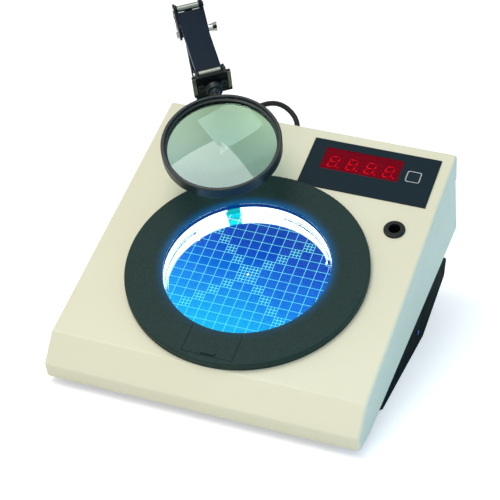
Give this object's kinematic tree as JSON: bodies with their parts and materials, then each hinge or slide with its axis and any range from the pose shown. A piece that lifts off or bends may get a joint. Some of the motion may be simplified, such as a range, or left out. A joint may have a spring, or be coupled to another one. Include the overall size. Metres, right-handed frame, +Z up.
{
  "type": "colony counter",
  "caption": "Sloping bench counter for bacterial colonies with a round lit grid stage, digit display, reset key, pen rest and a magnifier on a parallel-link arm.",
  "frame": {"origin": "on the bench, straight below the middle of the stage, in the plane of the base's flat underside", "axes": "+Z up, +Y to the back of the case, +X to the case's right seen from the front"},
  "size_m": [0.3065, 0.5151, 0.2822],
  "materials": {
    "cover": "satin",
    "black_sheet": "satin",
    "black_plastic": "satin",
    "cord": "satin",
    "arm_black": "satin",
    "chrome": "polished",
    "black_screws": "satin",
    "blue_screws": "satin",
    "rubber": "matte",
    "clear": "polished",
    "red_window": "polished",
    "key": "satin",
    "white_inner": "matte",
    "blue_tray": "matte",
    "boards": "matte",
    "ballast": "matte"
  },
  "bodies": {
    "case": {"cover": "cover", "base_box": "black_sheet", "rear_panel": "black_sheet", "bottom_plate": "black_sheet", "stage_ring": "black_plastic", "counter_panel": "black_plastic", "switch_frame": "black_plastic", "fuse_holder": "black_plastic", "cord_gland": "black_plastic", "pen_rest": "black_plastic", "mains_plug": "black_plastic", "mains_cord": "cord", "cord_coil": "cord", "arm_socket": "arm_black", "socket_screws": "chrome", "base_screws": "blue_screws", "front_feet": "rubber", "guard_wall": "clear", "display_window": "red_window", "light_pan": "white_inner", "lamp_tube": "white_inner", "lamp_base": "white_inner", "lamp_clips": "white_inner", "lamp_starter": "white_inner", "background": "blue_tray", "display_board": "boards", "counter_board": "boards", "display_digits": "boards", "board_pillars": "boards", "reset_switch": "boards", "touch_switches": "boards", "ballast": "ballast"},
    "power_switch": {"power_rocker": "black_plastic"},
    "lid": {"ring_lid": "black_plastic"},
    "stage": {"grid_plate": "clear", "plate_hoop": "black_plastic"},
    "key": {"reset_key": "key"},
    "swivel": {"arm_swivel": "arm_black", "foot_pins": "chrome"},
    "lower_link": {"lower_channel": "arm_black"},
    "lower_parallel": {"lower_rod": "arm_black"},
    "elbow": {"elbow_cheeks": "arm_black", "elbow_pins": "chrome", "elbow_spacers": "arm_black", "elbow_roller": "chrome"},
    "wing": {"wing_nut": "chrome"},
    "upper_link": {"upper_channel": "arm_black"},
    "upper_parallel": {"upper_rod": "arm_black"},
    "head": {"head_bracket": "arm_black", "head_pins": "chrome", "head_screws": "black_screws", "head_rails": "chrome", "head_roller": "chrome"},
    "cup": {"ball_cup": "arm_black"},
    "lens": {"ball_stem": "arm_black", "lens_frame": "black_plastic", "lens_glass": "clear", "retaining_ring": "black_plastic"}
  },
  "joints": [
    {"name": "arm_swivel", "type": "hinge", "parent": "case", "child": "swivel", "pos_m": [-0.1202, 0.1925, 0.18676], "axis": [0, -0.4226, 0.9063], "range_deg": [-60, 90]},
    {"name": "lower_arm", "type": "hinge", "parent": "swivel", "child": "lower_link", "pos_m": [-0.11853, 0.20292, 0.15852], "axis": [-0.83, -0.5055, -0.2357], "range_deg": [-25, 15]},
    {"name": "lower_rod", "type": "hinge", "parent": "swivel", "child": "lower_parallel", "pos_m": [-0.12283, 0.20961, 0.15933], "axis": [-0.83, -0.5055, -0.2357], "range_deg": [-25, 15]},
    {"name": "elbow_level", "type": "hinge", "parent": "lower_link", "child": "elbow", "pos_m": [-0.13246, 0.18285, 0.25064], "axis": [-0.83, -0.5055, -0.2357], "range_deg": [-15, 25]},
    {"name": "wing_turn", "type": "hinge", "parent": "elbow", "child": "wing", "pos_m": [-0.13246, 0.18285, 0.25064], "axis": [-0.83, -0.5055, -0.2357], "range_deg": [-90, 180]},
    {"name": "upper_arm", "type": "hinge", "parent": "elbow", "child": "upper_link", "pos_m": [-0.14194, 0.18803, 0.27291], "axis": [-0.83, -0.5055, -0.2357], "range_deg": [-8, 35]},
    {"name": "upper_rod", "type": "hinge", "parent": "elbow", "child": "upper_parallel", "pos_m": [-0.1424, 0.192, 0.26598], "axis": [-0.83, -0.5055, -0.2357], "range_deg": [-8, 35]},
    {"name": "head_level", "type": "hinge", "parent": "upper_link", "child": "head", "pos_m": [-0.09228, 0.12487, 0.23348], "axis": [-0.83, -0.5055, -0.2357], "range_deg": [-35, 8]},
    {"name": "cup_turn", "type": "hinge", "parent": "head", "child": "cup", "pos_m": [-0.08336, 0.11749, 0.2179], "axis": [0.5577, -0.7522, -0.3508], "range_deg": [-25, 25]},
    {"name": "lens_tilt", "type": "hinge", "parent": "cup", "child": "lens", "pos_m": [-0.08336, 0.11749, 0.2179], "axis": [-0.83, -0.5055, -0.2357], "range_deg": [-5, 35]},
    {"name": "key_press", "type": "slide", "parent": "case", "child": "key", "axis": [0, 0.4226, -0.9063], "range_m": [0, 0.0006], "stiffness_N_per_m": 400, "springref_m": -0.001},
    {"name": "stage_press", "type": "slide", "parent": "case", "child": "stage", "axis": [0, 0.4226, -0.9063], "range_m": [0, 0.0008], "stiffness_N_per_m": 4000, "springref_m": -0.0008},
    {"name": "lid_lift", "type": "slide", "parent": "case", "child": "lid", "axis": [0, -0.4226, 0.9063], "range_m": [0, 0.01]},
    {"name": "power_rock", "type": "hinge", "parent": "case", "child": "power_switch", "pos_m": [0.062, 0.18837, 0.12084], "axis": [1, 0, 0], "range_deg": [-16, 0]}
  ],
  "couplings": [
    {"joint": "lower_rod", "follows": "lower_arm", "ratio": 1},
    {"joint": "elbow_level", "follows": "lower_arm", "ratio": -1},
    {"joint": "upper_rod", "follows": "upper_arm", "ratio": 1},
    {"joint": "head_level", "follows": "upper_arm", "ratio": -1}
  ]
}
